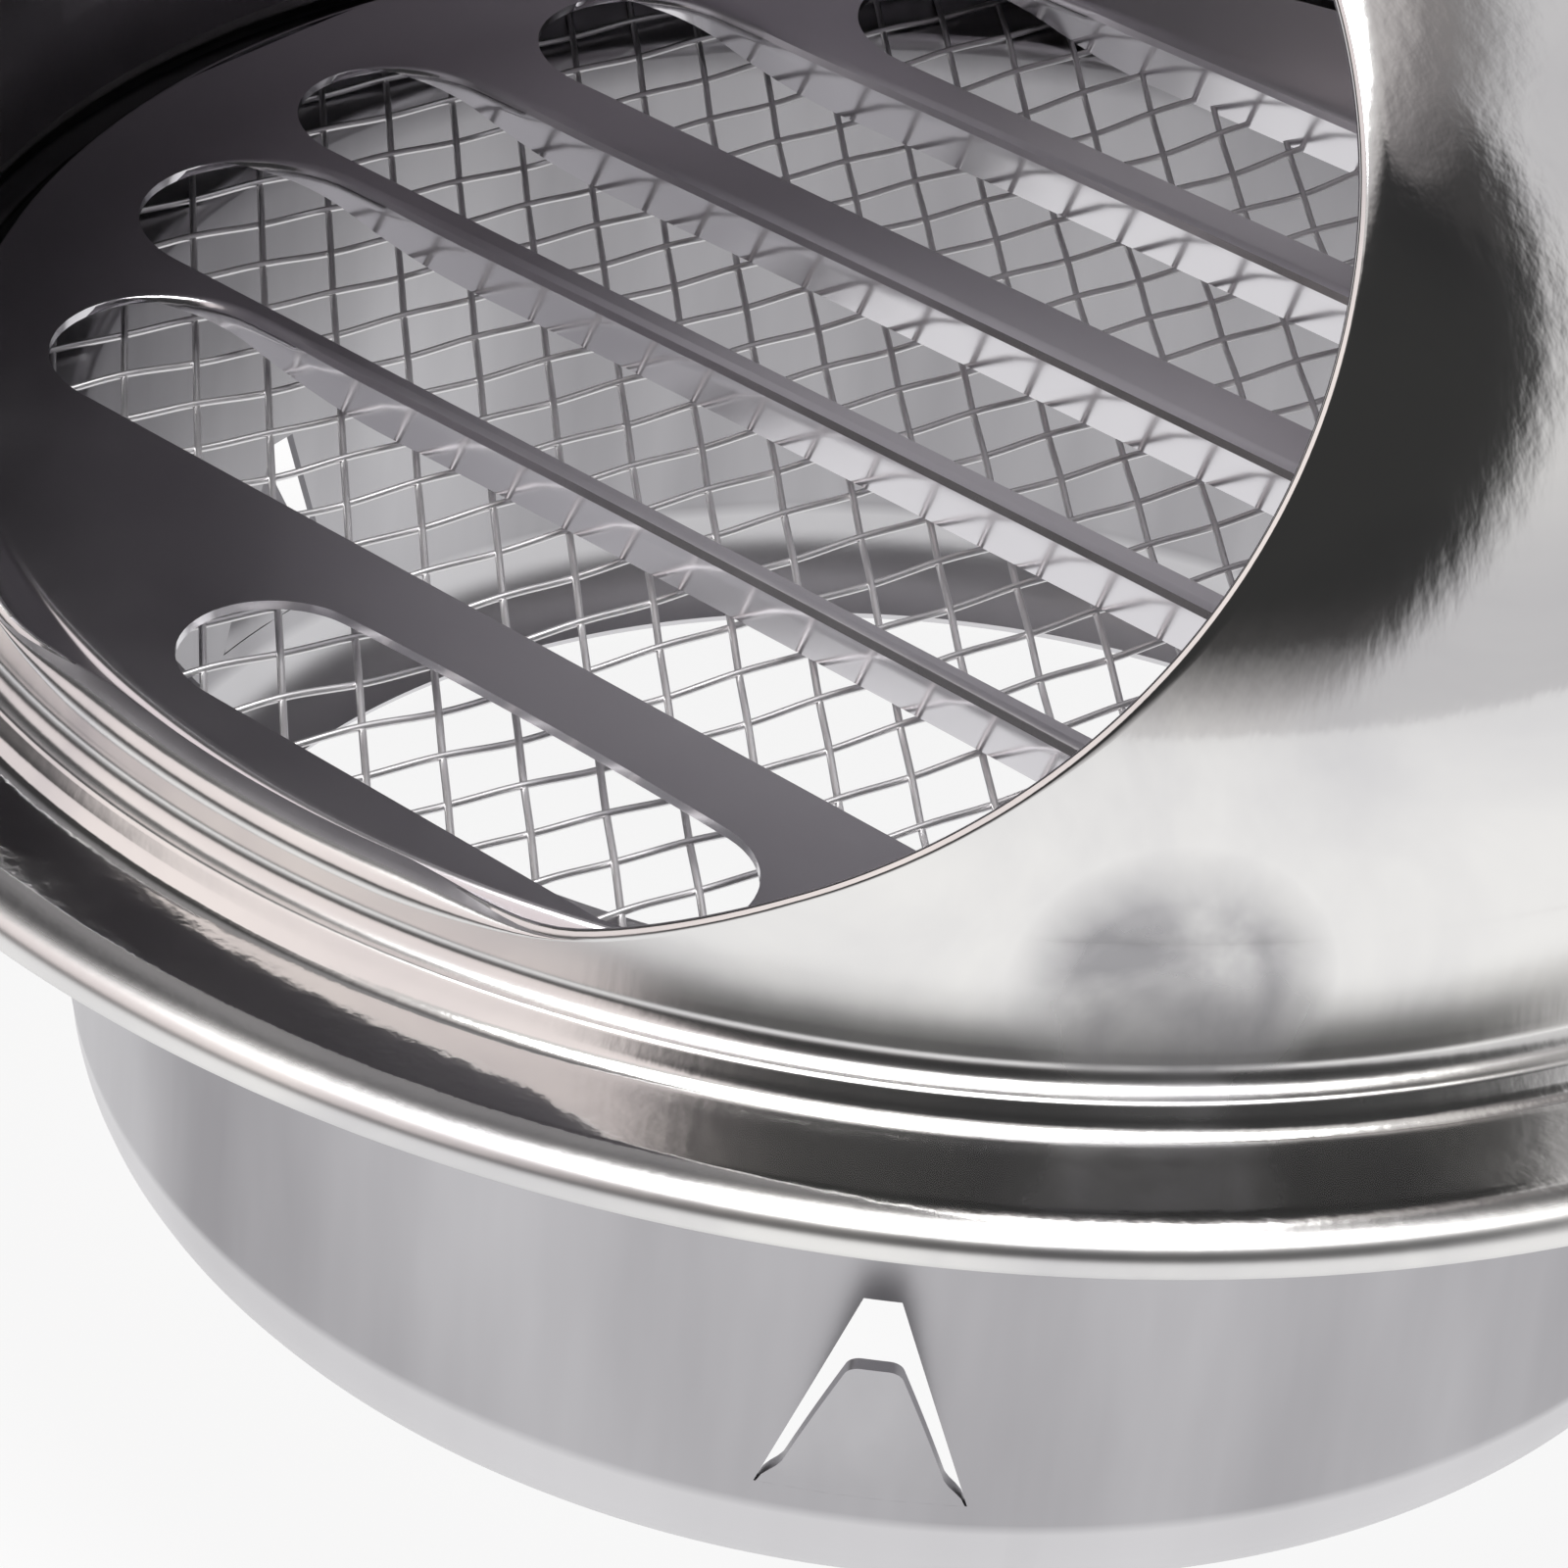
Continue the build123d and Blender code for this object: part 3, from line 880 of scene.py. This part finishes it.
# %% Bright-rolled steel of the plate and drawn wire of the screen
plain_finishes = [
    # name, piece, grain in mm, detail, least and most roughness, tone
    ("bright_rolled_stainless_steel", plate, 6.0, 4.0, 0.14, 0.24, "dddbdf"),
    ("drawn_stainless_wire", screen, 3.0, 2.0, 0.35, 0.5, "f1f0f1"),
]
for name, made, grain, detail, least, most, code in plain_finishes:
    tree = finish(name, [made])
    place = add(tree, "ShaderNodeTexCoord").outputs["Object"]
    cloud = add(tree, "ShaderNodeTexNoise", {
        "Vector": place, "Scale": per_mm(grain), "Detail": detail})
    rough = add(tree, "ShaderNodeMapRange", {
        "Value": cloud.outputs["Fac"], "To Min": least, "To Max": most})
    shader = add(tree, "ShaderNodeBsdfPrincipled", {
        "Base Color": colour(code), "Metallic": 1.0, "Roughness": rough.outputs["Result"]})
    add(tree, "ShaderNodeOutputMaterial", {"Surface": shader.outputs["BSDF"]})

# %% [markdown]
# ## White table
# The object stands on the end of its spigot on a white table. Its paint is matt and takes the
# object's shadow. For rays from the camera, and those that metal sends on, most of it glows at a
# strength of 1, so that the table is plain white there without more light on the object.

# %% White table
floor_reach = 2.0
glow_share = 0.9
floor_level = spigot_end * MM
floor_corners = [(x * floor_reach, y * floor_reach, floor_level)
                 for x, y in ((-1, -1), (1, -1), (1, 1), (-1, 1))]
floor_mesh = bpy.data.meshes.new("floor")
floor_mesh.from_pydata(floor_corners, [], [(0, 1, 2, 3)])
floor = bpy.data.objects.new("floor", floor_mesh)
bpy.context.scene.collection.objects.link(floor)
tree = finish("white_table", [floor])
path = add(tree, "ShaderNodeLightPath").outputs
seen = add(tree, "ShaderNodeMath", {
    0: path["Is Camera Ray"], 1: path["Is Glossy Ray"]}, operation="MAXIMUM")
seen = add(tree, "ShaderNodeMath", {
    0: seen.outputs[0], 1: path["Is Transmission Ray"]}, operation="MAXIMUM")
share = add(tree, "ShaderNodeMath", {0: seen.outputs[0], 1: glow_share}, operation="MULTIPLY")
matt = add(tree, "ShaderNodeBsdfDiffuse", {"Color": colour("f4f3f3")})
glow = add(tree, "ShaderNodeEmission", {"Color": colour("ffffff"), "Strength": 1.0})
table = add(tree, "ShaderNodeMixShader", {
    0: share.outputs[0], 1: matt.outputs["BSDF"], 2: glow.outputs["Emission"]})
add(tree, "ShaderNodeOutputMaterial", {"Surface": table.outputs["Shader"]})
print("table at", floor_level, "m")

# %% [markdown]
# ## Room and cards
# Polished steel shows little but the room around it, so the room is drawn with care: pale near
# the table, dim at the sides, bright overhead. Soft cards stand in it, as in a photo studio. One
# dark card gives the dark band on the dome, and white ones light the wall and the flange. Cards
# in the world's shader have soft edges for free and hide nothing from the lamp.

# %% Room from the table's edge to overhead
world = bpy.data.worlds.new("room")
bpy.context.scene.world = world
world.use_nodes = True
tree = world.node_tree
tree.nodes.clear()
heading = add(tree, "ShaderNodeTexCoord").outputs["Generated"]
parts = add(tree, "ShaderNodeSeparateXYZ", {"Vector": heading}).outputs
ramp = add(tree, "ShaderNodeValToRGB", {"Fac": parts["Z"]})
stops = [
    (0.0, "dcdada"), (0.08, "b0aeae"), (0.20, "484747"), (0.30, "3c3b3b"),
    (0.81, "444343"), (0.87, "8f8b8b"), (0.90, "cac6c4"), (0.96, "f4f2f0"),
]
while len(ramp.color_ramp.elements) < len(stops):
    ramp.color_ramp.elements.new(0.5)
for element, (position, code) in zip(ramp.color_ramp.elements, stops):
    element.position = position
    element.color = colour(code)
print("room stops", len(stops))

# %% Soft cards in the room
cards = [
    # turn from the mouth, rise and soft edge in degrees, slant of the sides, tone
    ((13.0, 112.0), (12.0, 68.0), 7.0, 0.0, "363636"),
    ((-95.0, 9.0), (20.0, 68.0), 5.0, 0.0, "fff5f3"),
    ((62.0, 150.0), (-8.0, 60.0), 9.0, 1.05, "dcdbdc"),
    ((-175.0, -112.0), (8.0, 66.0), 20.0, 0.0, "8f8d8e"),
]
toward = add(tree, "ShaderNodeMath", {0: parts["Y"], 1: -1.0}, operation="MULTIPLY")
turn_of = add(tree, "ShaderNodeMath", {
    0: parts["X"], 1: toward.outputs[0]}, operation="ARCTAN2")
rise_of = add(tree, "ShaderNodeMath", {0: parts["Z"]}, operation="ARCSINE")
surrounds = ramp.outputs["Color"]
for turns, rises, soft, slant, code in cards:
    slanted = add(tree, "ShaderNodeMath", {
        0: rise_of.outputs[0], 1: -slant, 2: turn_of.outputs[0]}, operation="MULTIPLY_ADD")
    cover = 1.0
    for measure, (low, high) in ((slanted, turns), (rise_of, rises)):
        for border, inner in ((low, low + soft), (high, high - soft)):
            fade = add(tree, "ShaderNodeMapRange", {
                "Value": measure.outputs[0],
                "From Min": np.radians(border), "From Max": np.radians(inner),
            }, interpolation_type="SMOOTHSTEP")
            cover = add(tree, "ShaderNodeMath", {
                0: cover, 1: fade.outputs["Result"]}, operation="MULTIPLY").outputs[0]
    surrounds = add(tree, "ShaderNodeMix", {
        0: cover, 6: surrounds, 7: colour(code)}, data_type="RGBA").outputs[2]
sky = add(tree, "ShaderNodeBackground", {"Color": surrounds, "Strength": 1.0})
add(tree, "ShaderNodeOutputWorld", {"Surface": sky.outputs["Background"]})
bpy.context.scene.view_settings.view_transform = "Standard"
print("room cards", len(cards))

# %% [markdown]
# ## Overhead light
# A broad round lamp above the object gives the soft shadow under the flange and the glints on
# the rim and the wires. It is large and weak, so that pale steel keeps its tone.

# %% Overhead light
lamp_size, lamp_power, lamp_height = 0.7, 9.0, 1.0
lamp = bpy.data.lights.new("overhead", "AREA")
lamp.shape = "DISK"
lamp.size = lamp_size
lamp.energy = lamp_power
overhead = bpy.data.objects.new("overhead", lamp)
overhead.location = (0.0, 0.0, lamp_height)
bpy.context.scene.collection.objects.link(overhead)
print("lamp", lamp_size, "m across,", lamp_power, "W")
